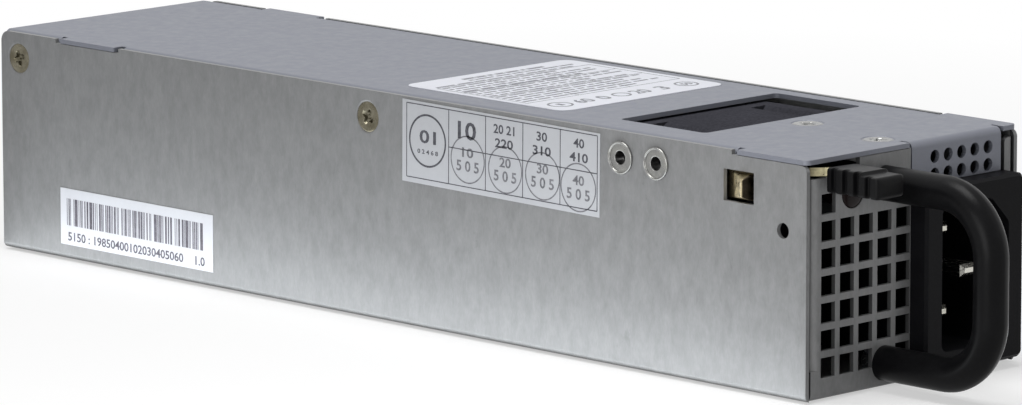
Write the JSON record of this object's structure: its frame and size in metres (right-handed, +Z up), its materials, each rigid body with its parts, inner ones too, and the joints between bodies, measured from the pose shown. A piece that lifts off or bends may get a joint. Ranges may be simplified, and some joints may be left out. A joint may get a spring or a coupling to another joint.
{
  "type": "hot swap server power supply",
  "caption": "Long flat sheet-steel power supply module with a bow handle, a three-blade AC inlet, a square-hole grille, a cooling fan, a sprung release latch and a rear contact tongue.",
  "frame": {"origin": "middle of the flat underside of the housing", "axes": "+X from the latch wall towards the inlet side, +Y from the front with the handle towards the rear with the contacts, +Z up"},
  "size_m": [0.0531, 0.2326, 0.0401],
  "materials": {
    "galvanised_steel": "galvanised sheet, fine grain",
    "cover_steel": "galvanised sheet, matte",
    "yellow_zinc": "yellow passivated zinc",
    "bright_steel": "bright zinc plated",
    "black_coat": "satin black coating",
    "inlet_plastic": "moulded, black",
    "blade_nickel": "nickel plated",
    "earth_nickel": "nickel plated",
    "lead_insulation": "smooth insulation",
    "light_lens": "tinted lens",
    "light_circuit": "solder resist",
    "spring_bronze": "rolled spring bronze",
    "anchor_bronze": "rolled spring bronze",
    "tab_plastic": "moulded, dark blue-grey",
    "rivet_zinc": "yellow passivated zinc",
    "fan_plastic": "glass-filled, black",
    "rotor_plastic": "glass-filled, black",
    "ferrite_magnet": "sintered",
    "shaft_steel": "ground",
    "bearing_bronze": "sintered, oiled",
    "stator_copper": "enamelled copper",
    "screw_steel": "zinc plated",
    "bracket_steel": "galvanised sheet",
    "circuit_board": "solder resist",
    "contact_gold": "gold plated",
    "film": "polyester film",
    "terminal_plastic": "moulded",
    "fuse_ceramic": "ceramic with metal caps",
    "ring_coat": "epoxy coated",
    "winding_copper": "enamelled copper",
    "carrier_plastic": "moulded",
    "film_capacitor": "moulded case",
    "disc_coat": "dipped",
    "relay_case": "moulded case",
    "can_sleeve": "sleeved can",
    "sink_aluminium": "extruded",
    "switch_epoxy": "moulded package",
    "core_ferrite": "sintered ferrite",
    "coil_tape": "taped winding",
    "control_circuit": "solder resist",
    "plug_nylon": "nylon",
    "label_paper": "printed label film",
    "label_test": "printed label film",
    "label_serial": "printed label film"
  },
  "bodies": {
    "housing": {"base_chassis": "galvanised_steel", "top_cover": "cover_steel", "side_screws": "yellow_zinc", "cover_screws": "bright_steel", "handle": "black_coat", "handle_screws": "screw_steel", "inlet_housing": "inlet_plastic", "power_blades": "blade_nickel", "earth_blade": "earth_nickel", "inlet_leads": "lead_insulation", "status_light": "light_lens", "light_board": "light_circuit", "latch_anchor": "anchor_bronze", "latch_rivets": "rivet_zinc", "fan_frame": "fan_plastic", "fan_bearing": "bearing_bronze", "fan_stator": "stator_copper", "fan_screws": "screw_steel", "fan_top_bracket": "bracket_steel", "fan_bottom_bracket": "bracket_steel", "fan_plug": "plug_nylon", "main_board": "circuit_board", "board_standoffs": "bright_steel", "board_screws": "screw_steel", "edge_contacts": "contact_gold", "insulation_film": "film", "terminal_block": "terminal_plastic", "input_fuse": "fuse_ceramic", "choke_core": "ring_coat", "choke_windings": "winding_copper", "choke_base": "carrier_plastic", "x_capacitor": "film_capacitor", "y_capacitors": "disc_coat", "inrush_relay": "relay_case", "boost_choke_core": "ring_coat", "boost_choke_winding": "winding_copper", "boost_choke_base": "carrier_plastic", "bulk_capacitor": "can_sleeve", "primary_heatsink": "sink_aluminium", "power_switches": "switch_epoxy", "transformer_core": "core_ferrite", "transformer_bobbin": "coil_tape", "standby_transformer": "core_ferrite", "output_capacitors": "can_sleeve", "control_board": "control_circuit", "rating_label": "label_paper", "test_label": "label_test", "serial_label": "label_serial"},
    "latch": {"latch_arm": "spring_bronze", "latch_tab": "tab_plastic"},
    "rotor": {"fan_rotor": "rotor_plastic", "rotor_magnet": "ferrite_magnet", "fan_shaft": "shaft_steel"}
  },
  "joints": [
    {"name": "latch_press", "type": "hinge", "parent": "housing", "child": "latch", "pos_m": [-0.0243, -0.06785, 0.0351], "axis": [0, 0, 1], "range_deg": [0, 5.5], "stiffness_Nm_per_rad": 1.8},
    {"name": "fan_spin", "type": "hinge", "parent": "housing", "child": "rotor", "pos_m": [0.0016, -0.05825, 0.0198], "axis": [0, 1, 0], "continuous": true}
  ]
}
